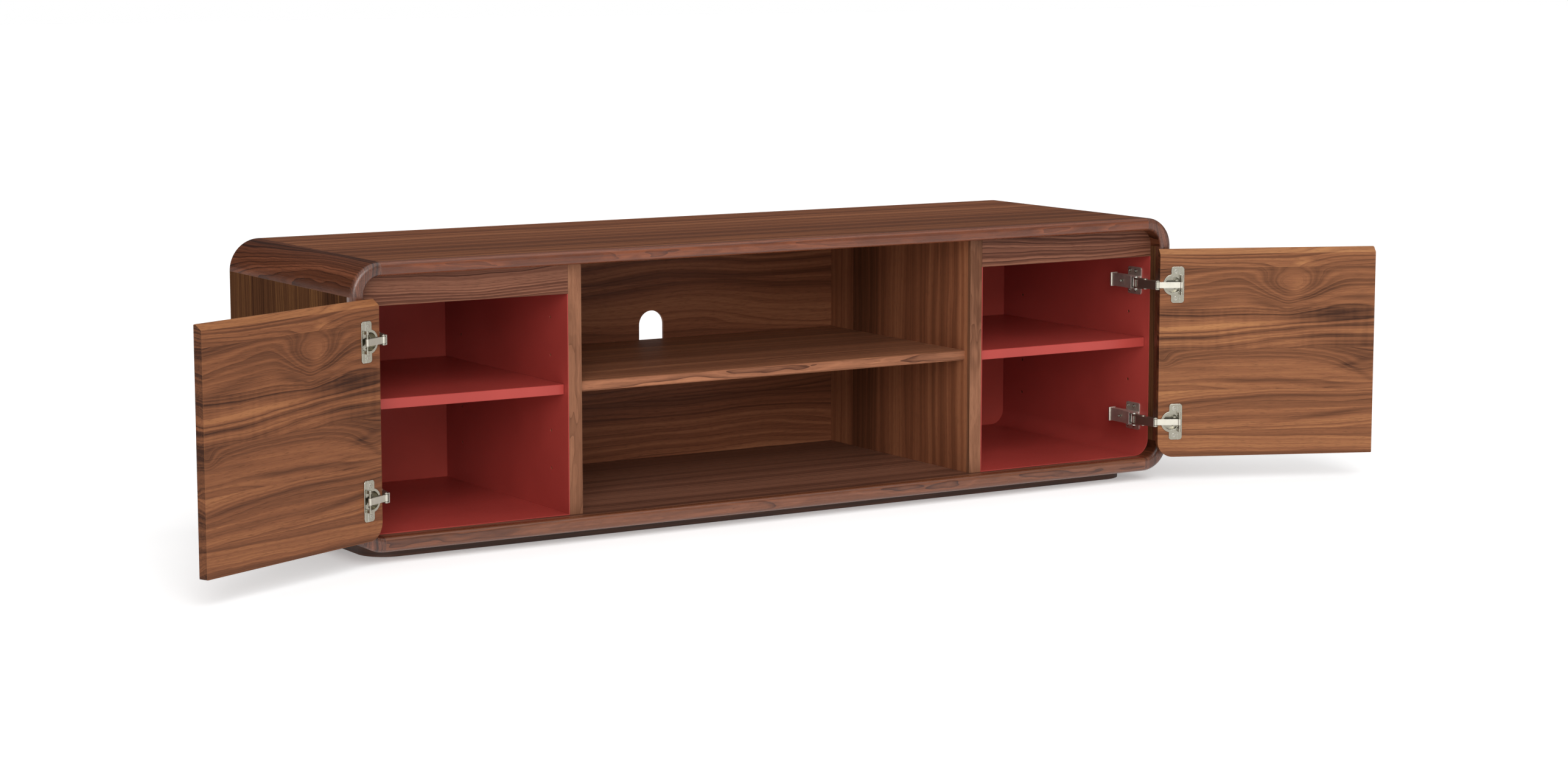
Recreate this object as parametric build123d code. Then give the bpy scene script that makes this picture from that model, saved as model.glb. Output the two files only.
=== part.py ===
from build123d import *
from math import cos, sin, pi, radians, degrees, hypot, atan2
import os

os.makedirs("parts", exist_ok=True)

# Driving dimensions, in mm. The origin is on the floor under the cabinet's centre; the open front faces -Y.
half_width = 800.0
half_depth = 241.0
height = 474.0
outer_radius = 52.4
wall_side = 23.6
wall_top = 22.0
wall_bottom = 24.1
board_underside = 18.2
inner_radius = 28.4
bullnose_outer = 9.0
bullnose_inner = 7.0
lip_depth = 16.0

front_plane = -210.5
back_face = 235.5
back_thickness = 5.0
back_rebate = 8.0
divider_inner = 382.5
divider_thickness = 24.5
divider_lip = 8.0
header_bottom = 402.5
header_thickness = 22.0
lining = 1.2

centre_shelf_top = 256.7
centre_shelf_thickness = 17.5
centre_shelf_setback = 16.0
shelf_lip = 8.0
red_shelf_top = 254.5
red_shelf_thickness = 16.6
red_shelf_setback = 13.0
shelf_gap = 0.8
pin_radius = 2.5
pin_row_front = front_plane + 60.0
pin_row_back = 175.0
pin_pitch = 62.0

slot_width = 50.0
slot_top = 308.0
slot_bottom = 188.0

plinth_half_length = 750.0
plinth_half_depth = 188.0
plinth_radius = 48.0
plinth_wall = 20.0
cross_rail = 60.0

door_length = 398.0
door_thickness = 16.0
door_bottom = 44.8
door_face_top = 409.6
door_outer_top = 418.7
door_corner = 28.0
door_land = 4.5
open_left = 154.5
open_right = 156.5

# The hinge linkage in plan, for the right door: the arm's pivot, two link lengths, and the closed pose.
closed_corner_x = 773.6
closed_face_y = -212.5
arm_x = 747.865
arm_y = -205.994
cup_pin_in = 37.723
cup_pin_up = 7.034
link_length = 52.408
bar_length = 43.052
link_closed = 143.017
bar_closed = -46.058
link_rate = 135.137 / 155.5
bar_rate = 15.952 / 155.5
hinge_levels = (108.8, 355.6)
turning_gap = 0.06

side_inner = half_width - wall_side
floor_z = board_underside + wall_bottom
ceiling_z = height - wall_top
side_face = side_inner - lining
divider_outer = divider_inner + divider_thickness
joint_x = half_width - outer_radius
lower_joint_z = board_underside + outer_radius
upper_joint_z = height - outer_radius


def block(x0, x1, y0, y1, z0, z1):
    """A box between two corners."""
    middle = Pos((x0 + x1) / 2, (y0 + y1) / 2, (z0 + z1) / 2)
    return middle * Box(x1 - x0, y1 - y0, z1 - z0)


def rod(x, y, z0, z1, radius):
    """An upright cylinder between two heights."""
    return Pos(x, y, (z0 + z1) / 2) * Cylinder(radius, z1 - z0)


def rod_x(x0, x1, y, z, radius):
    """A cylinder along X."""
    return Pos((x0 + x1) / 2, y, z) * Rot(0, 90, 0) * Cylinder(radius, abs(x1 - x0))


def rod_y(x, y0, y1, z, radius):
    """A cylinder along Y."""
    return Pos(x, (y0 + y1) / 2, z) * Rot(90, 0, 0) * Cylinder(radius, abs(y1 - y0))


def through(x0, x1, z0, z1, radius, y0, y1):
    """A rounded rectangle in elevation, carried along Y."""
    profile = Rectangle(x1 - x0, z1 - z0)
    if radius > 0:
        profile = RectangleRounded(x1 - x0, z1 - z0, radius)
    solid = extrude(profile, amount=(y1 - y0) / 2, both=True)
    return Pos((x0 + x1) / 2, (y0 + y1) / 2, (z0 + z1) / 2) * Rot(90, 0, 0) * solid


def plan(points, z0, z1):
    """A polygon in plan, carried upwards."""
    outline = make_face(Polyline(*points, close=True))
    return Pos(0, 0, z0) * extrude(outline, amount=z1 - z0)


def both_levels(z0, z1):
    """The two mirrored bands of height either side of a hinge's middle."""
    return ((z0, z1), (-z1, -z0))


def put(name, shape, side=1):
    """Write one named piece, or a group of like pieces, mirrored for the left side."""
    pieces = shape if isinstance(shape, list) else [shape]
    if side < 0:
        pieces = [mirror(piece, about=Plane.YZ) for piece in pieces]
    solids = [solid for piece in pieces for solid in piece.solids()]
    export_step(Compound(children=solids), "parts/" + name + ".step")
    print(name, len(solids), round(sum(solid.volume for solid in solids) / 1000.0, 1))


# The rounded loop of the carcass, cut into boards, corner blocks and front lippings.
def at_front(shape):
    """The edges of a shape that lie in its front-most plane."""
    return shape.edges().filter_by_position(Axis.Y, -half_depth - 0.05, -half_depth + 0.05)


def at_back(shape):
    """The edges of a shape that lie in its rear plane."""
    return shape.edges().filter_by_position(Axis.Y, half_depth - 0.05, half_depth + 0.05)


loop = through(-half_width, half_width, board_underside, height, outer_radius, -half_depth, half_depth)
loop = fillet(at_front(loop), bullnose_outer)
loop = chamfer(at_back(loop), 1.0)
opening = through(-side_inner, side_inner, floor_z, ceiling_z, inner_radius, -half_depth, half_depth)
loop = loop - opening
mouth = [e for e in at_front(loop) if abs(e.center().X) < side_inner + 1
         and floor_z - 1 < e.center().Z < ceiling_z + 1]
loop = fillet(mouth, bullnose_inner)
rebate = through(-side_inner - back_rebate, side_inner + back_rebate, floor_z - back_rebate,
                 ceiling_z + back_rebate, inner_radius + back_rebate, back_face, 260)
loop = loop - rebate

back_y = back_face + back_thickness
top_zone = block(-joint_x, joint_x, -260, 260, ceiling_z - 1, height + 1)
bottom_zone = block(-joint_x, joint_x, -260, 260, board_underside - 1, floor_z + 1)
behind_lip = block(-900, 900, -half_depth + lip_depth, 260, 0, 500)
front_lip = block(-900, 900, -260, -half_depth + lip_depth, 0, 500)
right_zone = block(side_inner - 1, half_width + 1, -260, 260, lower_joint_z, upper_joint_z)
upper_corner_zone = block(joint_x, half_width + 1, -260, 260, upper_joint_z, height + 1)
lower_corner_zone = block(joint_x, half_width + 1, -260, 260, board_underside - 1, lower_joint_z)

# Screws of the back panels: into both dividers and into the top and bottom boards.
screw_spots = []
for side in (-1, 1):
    for level in (floor_z + 40, (floor_z + ceiling_z) / 2 + 60, ceiling_z - 40):
        screw_spots.append((side * (divider_outer - 6.0), level))
        screw_spots.append((side * (divider_inner + 6.0), level))
    for reach in (180, 560, 720):
        screw_spots.append((side * reach, ceiling_z + 4.0))
        screw_spots.append((side * reach, floor_z - 4.0))
back_screws = []
for spot_x, spot_z in screw_spots:
    shank = rod_y(spot_x, back_y - 22, back_y - 0.2, spot_z, 1.5)
    head = Pos(spot_x, back_y - 1.2, spot_z) * Rot(-90, 0, 0) * Cone(1.5, 3.2, 2.0)
    back_screws.append(shank + head)


def drilled(shape, tools):
    """Cut each tool out of a shape."""
    for tool in tools:
        shape = shape - tool
    return shape


put("top_panel", drilled(loop & top_zone & behind_lip, back_screws))
put("bottom_panel", drilled(loop & bottom_zone & behind_lip, back_screws))
put("top_front_lipping", loop & top_zone & front_lip)
put("bottom_front_lipping", loop & bottom_zone & front_lip)
put("side_front_lipping_right", loop & right_zone & front_lip)
put("side_front_lipping_left", loop & right_zone & front_lip, -1)
put("corner_block_top_right", loop & upper_corner_zone)
put("corner_block_top_left", loop & upper_corner_zone, -1)
put("corner_block_bottom_right", loop & lower_corner_zone)
put("corner_block_bottom_left", loop & lower_corner_zone, -1)
put("back_screws", back_screws)


# Dividers, header rails, shelves and the lacquered linings of the side compartments.
def clear_opening(inset):
    """The inside of the carcass, drawn in by an inset on every side."""
    return through(-side_inner + inset, side_inner - inset, floor_z + inset, ceiling_z - inset,
                   inner_radius - inset, -half_depth, half_depth)


pin_level = red_shelf_top - red_shelf_thickness - pin_radius
pin_steps = (-2, -1, 1, 2)


def pin_holes(x0, x1):
    """Rows of shelf-pin holes through one wall face."""
    holes = []
    for depth in (pin_row_front, pin_row_back):
        for step in pin_steps:
            holes.append(rod_x(x0, x1, depth, pin_level + step * pin_pitch, pin_radius))
    return holes


def shelf_pins():
    """Four pins that carry one lacquered shelf."""
    pins = []
    for depth in (pin_row_front, pin_row_back):
        pins.append(rod_x(divider_outer - 9, divider_outer + lining + 8, depth, pin_level, pin_radius))
        pins.append(rod_x(side_face - 8, side_inner + 9, depth, pin_level, pin_radius))
    return pins


right_pins = shelf_pins()
divider = block(divider_inner, divider_outer, front_plane + divider_lip, back_face, floor_z, ceiling_z)
divider = drilled(divider, back_screws)
divider = drilled(divider, pin_holes(divider_outer - 9, divider_outer + 20))
divider = drilled(divider, right_pins)
divider_strip = block(divider_inner, divider_outer, front_plane, front_plane + divider_lip, floor_z, ceiling_z)
divider_strip = chamfer(divider_strip.edges().filter_by(Axis.Z).group_by(Axis.Y)[0], 0.8)

header_back = front_plane + header_thickness
header = block(divider_outer, side_inner, front_plane, header_back, header_bottom, ceiling_z)
header = header & clear_opening(0)
header = chamfer(header.edges().filter_by(Axis.X).group_by(Axis.Z)[0].group_by(Axis.Y)[0], 0.8)
header_space = block(divider_outer, side_inner, front_plane - 1, header_back, header_bottom, ceiling_z)

compartment = block(divider_outer, side_inner, front_plane, back_face, floor_z, ceiling_z)
hollow = block(divider_outer - 1, side_inner, -half_depth, half_depth, 0, height)
liner = (clear_opening(0) & compartment) - (clear_opening(lining) & hollow) - header_space
divider_liner = block(divider_outer, divider_outer + lining, front_plane, back_face,
                      floor_z, ceiling_z) - header_space
liner = liner - divider_liner
divider_liner = drilled(divider_liner, pin_holes(divider_outer - 1, divider_outer + 9))
divider_liner = drilled(divider_liner, right_pins)

red_shelf = block(divider_outer + lining + shelf_gap, side_face - shelf_gap, front_plane + red_shelf_setback,
                  back_face - 4, red_shelf_top - red_shelf_thickness, red_shelf_top)
red_shelf = fillet(red_shelf.edges().filter_by(Axis.X).group_by(Axis.Y)[0], 1.2)
red_shelf = drilled(red_shelf, right_pins)

shelf_front = front_plane + centre_shelf_setback
shelf_bottom = centre_shelf_top - centre_shelf_thickness
centre_shelf = block(-divider_inner, divider_inner, shelf_front + shelf_lip, back_face,
                     shelf_bottom, centre_shelf_top)
shelf_strip = block(-divider_inner, divider_inner, shelf_front, shelf_front + shelf_lip,
                    shelf_bottom, centre_shelf_top)
shelf_strip = fillet(shelf_strip.edges().filter_by(Axis.X).group_by(Axis.Y)[0], 4.0)

put("divider_right", divider)
put("divider_left", divider, -1)
put("divider_front_strip_right", divider_strip)
put("divider_front_strip_left", divider_strip, -1)
put("header_rail_right", header)
put("header_rail_left", header, -1)
put("red_shelf_right", red_shelf)
put("red_shelf_left", red_shelf, -1)
put("centre_shelf", centre_shelf)
put("centre_shelf_front_strip", shelf_strip)
put("divider_lining_right", divider_liner)
put("divider_lining_left", divider_liner, -1)
left_pins = [mirror(pin, about=Plane.YZ) for pin in right_pins]
put("shelf_pins", right_pins + left_pins)

# Back panels in the rebate, jointed behind the dividers, with the cable slot in the middle one.
back_field = through(-side_inner - back_rebate, side_inner + back_rebate, floor_z - back_rebate,
                     ceiling_z + back_rebate, inner_radius + back_rebate, back_face, back_y)
seam = (divider_inner + divider_outer) / 2
side_back = back_field & block(seam, 900, -260, 260, 0, 500)
centre_back = back_field & block(-seam, seam, -260, 260, 0, 500)
slot_radius = slot_width / 2
slot = through(-slot_radius, slot_radius, slot_bottom, slot_top, slot_radius - 0.01, back_face - 5, back_y + 5)
put("back_panel_right", drilled(side_back, back_screws))
put("back_panel_left", drilled(side_back, back_screws), -1)
put("back_panel_centre", drilled(centre_back - slot, back_screws))

# The plinth: a rounded ring with three rails across it, the middle one at the origin.
ring = RectangleRounded(2 * plinth_half_length, 2 * plinth_half_depth, plinth_radius)
ring = ring - RectangleRounded(2 * (plinth_half_length - plinth_wall), 2 * (plinth_half_depth - plinth_wall),
                               plinth_radius - plinth_wall)
ring = extrude(ring, amount=board_underside)
rails = []
for rail_x in (-divider_inner - 12, 0, divider_inner + 12):
    rails.append(block(rail_x - cross_rail / 2, rail_x + cross_rail / 2, -plinth_half_depth + plinth_wall,
                       plinth_half_depth - plinth_wall, 0, board_underside))
put("plinth_ring", ring)
put("plinth_cross_rails", rails)


# Hinges. Everything is laid out for the right door in plan, then mirrored for the left.
class Pose:
    """Where the links and the door stand at one opening angle."""

    def __init__(self, opening):
        self.opening = opening
        self.link_angle = link_closed + link_rate * opening
        self.bar_angle = bar_closed + bar_rate * opening
        self.knee_x = arm_x + link_length * cos(radians(self.link_angle))
        self.knee_y = arm_y + link_length * sin(radians(self.link_angle))
        self.cup_x = self.knee_x + bar_length * cos(radians(self.bar_angle))
        self.cup_y = self.knee_y + bar_length * sin(radians(self.bar_angle))
        turn = radians(opening)
        self.corner_x = self.cup_x + cup_pin_in * cos(turn) + cup_pin_up * sin(turn)
        self.corner_y = self.cup_y + cup_pin_in * sin(turn) - cup_pin_up * cos(turn)

    def door(self, shape):
        """Carry a shape drawn on the closed door, hinge corner at the origin, to this pose."""
        return Pos(self.corner_x, self.corner_y, 0) * Rot(0, 0, self.opening) * shape

    def link(self, shape):
        """Carry a shape drawn along +X from the arm's pivot to this pose."""
        return Pos(arm_x, arm_y, 0) * Rot(0, 0, self.link_angle) * shape

    def bar(self, shape):
        """Carry a shape drawn along +X from the knee pivot to this pose."""
        return Pos(self.knee_x, self.knee_y, 0) * Rot(0, 0, self.bar_angle) * shape


cup_centre = -24.0
cup_radius = 17.5
plate_x0 = -44.0
plate_x1 = -20.0
plate_half = 32.5
plate_thickness = 1.6
cup_screw_x = -28.5
cup_screw_z = 24.0
arm_pin_radius = 2.0
knee_pin_radius = 1.75
cup_pin_radius = 1.5
arm_half = 11.3
link_half = 9.3
bar_half = 5.3


def flat_slot(length, radius, z0, z1):
    """A round-ended strap in plan from the origin along +X."""
    strap = rod(0, 0, z0, z1, radius) + rod(length, 0, z0, z1, radius)
    return strap + block(0, length, -radius, radius, z0, z1)


def door_panel():
    """The closed door panel with its coved top edge, rounded lower hinge corner and cup recesses."""
    panel = block(-door_length, 0, -door_thickness, 0, door_bottom, door_outer_top)
    low_corner = panel.edges().filter_by(Axis.Y).group_by(Axis.Z)[0].group_by(Axis.X)[-1]
    panel = fillet(low_corner, door_corner)
    free_corner = panel.edges().filter_by(Axis.Y).group_by(Axis.X)[0]
    panel = fillet(free_corner, 1.5)
    slope = make_face(Polyline((-door_thickness + door_land, door_outer_top), (1, door_face_top - 0.8),
                               (1, door_outer_top + 2), (-door_thickness + door_land, door_outer_top + 2),
                               close=True))
    wedge = extrude(slope, amount=door_length + 2)
    wedge = Pos(-door_length - 1, 0, 0) * Plane.YZ.location * wedge
    panel = panel - wedge
    rim = panel.edges().group_by(Axis.Y)[0]
    panel = fillet(rim, 1.2)
    for level in hinge_levels:
        panel = panel - rod_y(cup_centre, -11.7, 1, level, cup_radius)
        for height_off in (-cup_screw_z, cup_screw_z):
            panel = panel - cup_screw_seat(level + height_off)
    return panel


def cup_screw_seat(level):
    """The space a cup screw takes up, before its cross recess is cut."""
    shank = rod_y(cup_screw_x, -11.0, 0.6, level, 1.6)
    head = Pos(cup_screw_x, 0.75, level) * Rot(-90, 0, 0) * Cone(1.6, 3.3, 1.7)
    return shank + head


def cup_screw(level):
    """One countersunk screw that holds a cup's plate to the door."""
    recess = block(cup_screw_x - 1.6, cup_screw_x + 1.6, 0.9, 2.5, level - 0.4, level + 0.4)
    recess = recess + block(cup_screw_x - 0.4, cup_screw_x + 0.4, 0.9, 2.5, level - 1.6, level + 1.6)
    return cup_screw_seat(level) - recess


def cup(level):
    """A hinge cup with its wing plate, barrels and the raised pin's lugs."""
    plate = through(plate_x0, plate_x1, -plate_half, plate_half, 5.0, 0, plate_thickness)
    plate = chamfer(plate.edges().group_by(Axis.Y)[-1], 0.5)
    plate = plate - block(-35.9, -35.4, plate_thickness - 0.35, 3, -40, 40)
    ring = rod_y(cup_centre, 0, plate_thickness, 0, 19.0)
    ring = chamfer(ring.edges().group_by(Axis.Y)[-1], 0.5)
    body = plate + ring + rod_y(cup_centre, -11.5, 0, 0, cup_radius)
    body = body - rod_y(cup_centre, -10.3, 3, 0, 14.6)
    boss = block(cup_centre - 13.0, cup_centre - 5.0, -10.3, -2.0, -9.0, 9.0)
    body = body + boss
    for z0, z1 in both_levels(12.6, 17.6):
        lug = block(-cup_pin_in - 2.4, -cup_pin_in + 2.4, 0.2, cup_pin_up, z0, z1)
        lug = lug + rod(-cup_pin_in, cup_pin_up, z0, z1, 2.6)
        body = body + (lug - rod_y(cup_centre, -12, 0.2, 0, 14.6))
    body = body - rod(-cup_pin_in, cup_pin_up, -20, 20, cup_pin_radius)
    for height_off in (-cup_screw_z, cup_screw_z):
        body = body - cup_screw_seat(height_off)
    return Pos(0, 0, level) * body


def cup_pin(level):
    """The bright pin that the bar turns on."""
    return rod(-cup_pin_in, cup_pin_up, level - 17.9, level + 17.9, cup_pin_radius)


def link(level):
    """The cranked mid-link: two cheeks, stepped out to the arm, with a strap across their back."""
    body = None
    for z0, z1 in both_levels(6.3, 7.8):
        cheek = flat_slot(link_length, 4.2, z0, z1) + block(3, link_length + 1, -5.4, 0, z0, z1)
        body = cheek if body is None else body + cheek
    for z0, z1 in both_levels(6.3, link_half):
        body = body + flat_slot(0.42 * link_length, 4.4, z0, z1)
    body = body + block(9, link_length + 1, -5.4, -4.2, -7.8, 7.8)
    body = body - rod(0, 0, -20, 20, arm_pin_radius + turning_gap)
    body = body - rod(link_length, 0, -20, 20, knee_pin_radius)
    return Pos(0, 0, level) * body


def knee_pin(level):
    """The rivet at the knee, held in the mid-link."""
    return rod(link_length, 0, level - 8.4, level + 8.4, knee_pin_radius)


def bar(level):
    """The pale bar between the knee and the cup."""
    strap = block(0, bar_length, -1.4, 1.4, -bar_half, bar_half)
    strap = strap + rod(0, 0, -bar_half, bar_half, 3.5) + rod(bar_length, 0, -bar_half, bar_half, 3.0)
    strap = strap - rod(0, 0, -20, 20, knee_pin_radius + turning_gap)
    strap = strap - rod(bar_length, 0, -20, 20, cup_pin_radius + turning_gap)
    return Pos(0, 0, level) * strap


plate_front = front_plane + 22.0
plate_back = plate_front + 38.0
wing_screw_front = front_plane + 37.0
wing_screw_back = front_plane + 54.0
arm_rear = -126.0


def wing_screw(depth, level):
    """One screw through a mounting plate's wing into the side panel."""
    shank = rod_x(side_face - 1.2, side_inner + 12, depth, level, 2.0)
    head = Pos(side_face - 2.0, depth, level) * Rot(0, 90, 0) * Cone(3.6, 2.0, 1.9)
    recess = block(side_face - 5, side_face - 2.2, depth - 1.8, depth + 1.8, level - 0.45, level + 0.45)
    recess = recess + block(side_face - 5, side_face - 2.2, depth - 0.45, depth + 0.45, level - 1.8, level + 1.8)
    return shank + head - recess


def plate_screws(level):
    """The four wing screws of one mounting plate."""
    found = []
    for depth in (wing_screw_front, wing_screw_back):
        for height_off in (-17.5, 17.5):
            found.append(wing_screw(depth, level + height_off))
    return found


def arm_screws(level):
    """The two adjusting screws seen in the arm's back."""
    found = []
    for depth, radius in ((plate_front + 8, 3.0), (plate_back - 9, 2.7)):
        shank = rod_x(750.6, 770, depth, level, 1.7)
        head = rod_x(748.9, 750.6, depth, level, radius)
        cross = block(748, 749.7, depth - 1.8, depth + 1.8, level - 0.4, level + 0.4)
        cross = cross + block(748, 749.7, depth - 0.4, depth + 0.4, level - 1.8, level + 1.8)
        found.append(shank + head - cross)
    return found


def mounting_plate(level):
    """The cross-shaped plate on the compartment's side, with the raised seat for the arm."""
    wings = block(side_face - 2.2, side_face, plate_front, plate_back, level - 24.5, level + 24.5)
    wings = fillet(wings.edges().filter_by(Axis.X), 4.0)
    seat = block(756, side_face, plate_front + 1, plate_back + 6, level - 9.2, level + 9.2)
    seat = chamfer(seat.edges().group_by(Axis.X)[0], 1.2)
    body = wings + seat
    body = drilled(body, plate_screws(level) + arm_screws(level))
    for depth in (wing_screw_front, wing_screw_back):
        for height_off in (-17.5, 17.5):
            body = body - rod_x(side_face - 4, side_face - 2.1, depth, level + height_off, 3.7)
            body = body - rod_x(side_face - 3, side_face - 1.2, depth, level + height_off, 2.0)
    return body


def arm(level):
    """The cranked channel arm from its rear hook to the nose that carries the mid-link."""
    cheek = [(arm_x - 4.4, arm_y + 0.5), (arm_x - 0.6, -183), (751, -168), (751, arm_rear), (763, arm_rear),
             (763, -178), (arm_x + 4.4, arm_y - 0.5)]
    web = [(arm_x - 2.9, -195.0), (arm_x - 0.6, -183), (751, -168), (751, arm_rear), (752.6, arm_rear),
           (752.6, -168.4), (arm_x + 1.0, -183.4), (arm_x - 1.3, -195.0)]
    body = plan(web, -arm_half, arm_half)
    for z0, z1 in both_levels(9.7, arm_half):
        body = body + plan(cheek, z0, z1) + rod(arm_x, arm_y, z0, z1, 4.5)
    body = body + block(749.6, 764, arm_rear - 5, arm_rear - 3, -12.6, 12.6)
    body = body - block(755, 770, arm_rear - 6, arm_rear - 2, -9.7, 9.7)
    body = body - rod(arm_x, arm_y, -20, 20, arm_pin_radius)
    body = body - block(748, 754, plate_back - 13.5, plate_back - 4.5, -2.0, 2.0)
    body = Pos(0, 0, level) * body
    return drilled(body, arm_screws(level))


def arm_pin(level):
    """The rivet at the arm's nose."""
    return rod(arm_x, arm_y, level - arm_half - 0.7, level + arm_half + 0.7, arm_pin_radius)


def at_levels(maker):
    """One copy of a piece at each hinge's height."""
    return [maker(level) for level in hinge_levels]


all_wing_screws = []
all_arm_screws = []
for level in hinge_levels:
    all_wing_screws = all_wing_screws + plate_screws(level)
    all_arm_screws = all_arm_screws + arm_screws(level)

put("lining_right", drilled(drilled(liner, pin_holes(side_face - 9, side_inner + 1)),
                            right_pins + all_wing_screws))
put("lining_left", drilled(drilled(liner, pin_holes(side_face - 9, side_inner + 1)),
                           right_pins + all_wing_screws), -1)
side_board = loop & right_zone & behind_lip
side_board = drilled(side_board, pin_holes(side_inner - 1, side_inner + 9))
side_board = drilled(side_board, right_pins + all_wing_screws)
put("side_panel_right", side_board)
put("side_panel_left", side_board, -1)

sides = ((1, "right", Pose(open_right)), (-1, "left", Pose(open_left)))
names = ("lower", "upper")
root_screws = []
root_pins = []
for side, word, pose in sides:
    put("door_" + word, pose.door(door_panel()), side)
    for name, level in zip(names, hinge_levels):
        put("hinge_plate_" + word + "_" + name, mounting_plate(level), side)
        put("hinge_arm_" + word + "_" + name, arm(level), side)
        put("hinge_cup_" + word + "_" + name, pose.door(cup(level)), side)
    put("hinge_links_" + word, [pose.link(link(level)) for level in hinge_levels], side)
    put("hinge_bars_" + word, [pose.bar(bar(level)) for level in hinge_levels], side)
    put("knee_pins_" + word, [pose.link(knee_pin(v)) for v in hinge_levels], side)
    put("cup_pins_" + word, [pose.door(cup_pin(v)) for v in hinge_levels], side)
    cup_screws = []
    for level in hinge_levels:
        for height_off in (-cup_screw_z, cup_screw_z):
            cup_screws.append(pose.door(cup_screw(level + height_off)))
    put("cup_screws_" + word, cup_screws, side)
    for piece in all_wing_screws + all_arm_screws:
        root_screws.append(piece if side > 0 else mirror(piece, about=Plane.YZ))
    for level in hinge_levels:
        root_pins.append(arm_pin(level) if side > 0 else mirror(arm_pin(level), about=Plane.YZ))
    print(word, "arm", round(arm_x * side, 3), round(arm_y, 3),
          "knee", round(pose.knee_x * side, 3), round(pose.knee_y, 3),
          "cup", round(pose.cup_x * side, 3), round(pose.cup_y, 3),
          "corner", round(pose.corner_x * side, 3), round(pose.corner_y, 3))
put("hinge_plate_screws", root_screws)
put("arm_pins", root_pins)
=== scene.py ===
"""Media cabinet in oiled black walnut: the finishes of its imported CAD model, and a studio floor."""

from math import cos, pi, radians, sin

import bpy
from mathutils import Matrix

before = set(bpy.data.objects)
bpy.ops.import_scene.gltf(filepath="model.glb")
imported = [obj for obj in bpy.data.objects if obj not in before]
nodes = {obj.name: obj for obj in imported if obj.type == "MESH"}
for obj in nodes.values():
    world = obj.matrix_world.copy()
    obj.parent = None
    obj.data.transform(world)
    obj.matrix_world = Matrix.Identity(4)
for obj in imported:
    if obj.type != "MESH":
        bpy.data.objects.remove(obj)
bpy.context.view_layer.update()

bl_info = {
    "name": "Walnut Media Cabinet",
    "version": (1, 0, 0),
    "blender": (4, 5, 0),
    "location": "3D View > Sidebar > Cabinet",
    "description": "Finishes the walnut media cabinet and sets it on a studio floor",
    "category": "Object",
}

MM = 0.001
LENGTH = {"unit": "LENGTH", "subtype": "DISTANCE"}
COLOUR = {"subtype": "COLOR", "size": 4, "min": 0.0, "max": 1.0}
SHARE = {"subtype": "FACTOR", "min": 0.0, "max": 1.0}
SIDES = ("left", "right")

# The walnut's patterns, each with its size along and across the grain.
ARCH_SIZE = (588.24 * MM, 125 * MM)
WAVE_SIZE = (125 * MM, 29.412 * MM)
CURL_SIZE = (13.3333 * MM, 90.909 * MM)
# Real fibres and pores are 0.02 mm and 0.2 mm wide, too fine to show, so they are drawn coarser.
FIBRE_SIZE = (200 * MM, 3.0303 * MM)
PORE_WIDTH = 0.90909 * MM
WAVE_DEPTH = 9 * MM
# Pale and dark bands are about six rings wide, and start elsewhere in their noise than the rings.
RINGS_IN_BAND = 6.25
BAND_START = 31.7
YEARS_PER_RING = 0.9
YEAR_DRIFT = 5.0
YEAR_SHARPNESS = 6.0
# How far apart in the log two staves of a panel, and two boards, are cut, in metres.
STAVE_SHIFT = (7.0, 3.0, 3.0)
BOARD_SHIFT = (1.7, 0.9, 0.4)

# What each pattern adds to the walnut's shade, which runs from streak (0) to pale (1).
RING_WEIGHT = 0.62
BAND_WEIGHT = 0.55
FIBRE_WEIGHT = 0.26
SHADE_SHIFT = -0.185
MIDDLE_SHADE = 0.52
STAVE_SPREAD = 0.16
END_GRAIN_DROP = 0.16
PORE_DARKNESS = 0.45
PORE_DEPTH = 0.6
# A spot is this deep, in metres, so that it goes right through the board.
THROUGH = 1000.0
OILED_GLOSS = 0.12

# Oil and lacquer both dry to a film with this index of refraction.
FILM_IOR = 1.5
BEVEL_SAMPLES = 4
LACQUER_GLOSS = 0.25
LACQUER_COAT = 0.08
# The lacquered back panels end at 241 mm, and what lies behind this is their rear face.
REAR_FACE = 239 * MM
# The height of the seam under a door's top stave.
DOOR_SEAM = 384.7 * MM

CAMERA_PLACE = (-2.892374, -4.855998, 0.974427)
CAMERA_TILT = radians(82.092)
CAMERA_TURN = radians(-31.923)
SENSOR_WIDTH = 36.0


def linear(code):
    """An sRGB hex colour as linear red, green, blue and alpha."""
    channels = [int(code[i:i + 2], 16) / 255 for i in (0, 2, 4)]
    return [c / 12.92 if c <= 0.04045 else ((c + 0.055) / 1.055) ** 2.4 for c in channels] + [1.0]


def wood_tones(streak, heart, pale):
    """The three colours of a board, from its dark streaks to its palest bands."""
    return linear(streak), linear(heart), linear(pale)


def mixed(first, second, share):
    """A colour between two colours."""
    return [a + (b - a) * share for a, b in zip(first, second)]


def grey(value):
    """A grey as a colour."""
    return (value, value, value, 1.0)


def grain_scale(length, width):
    """The scale of a pattern whose grains are this long and this wide."""
    return (1 / length, 1 / width, 1 / width)


# Shade of the lacquer where it pools, and its painted highlight along the edges.
POOLED_RED = linear("5C1614")
EDGE_HIGHLIGHT_RED = linear("BC4C44")
# Nickel is warmer where it has dulled, and whiter in the painted highlight along its edges.
DULLED_NICKEL = linear("6E695C")
EDGE_HIGHLIGHT_NICKEL = linear("F2F0E8")
ZINC = linear("A9ABAA")
STAIN = (linear("2E1A10"), linear("46291B"), linear("5E3A28"))

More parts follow.
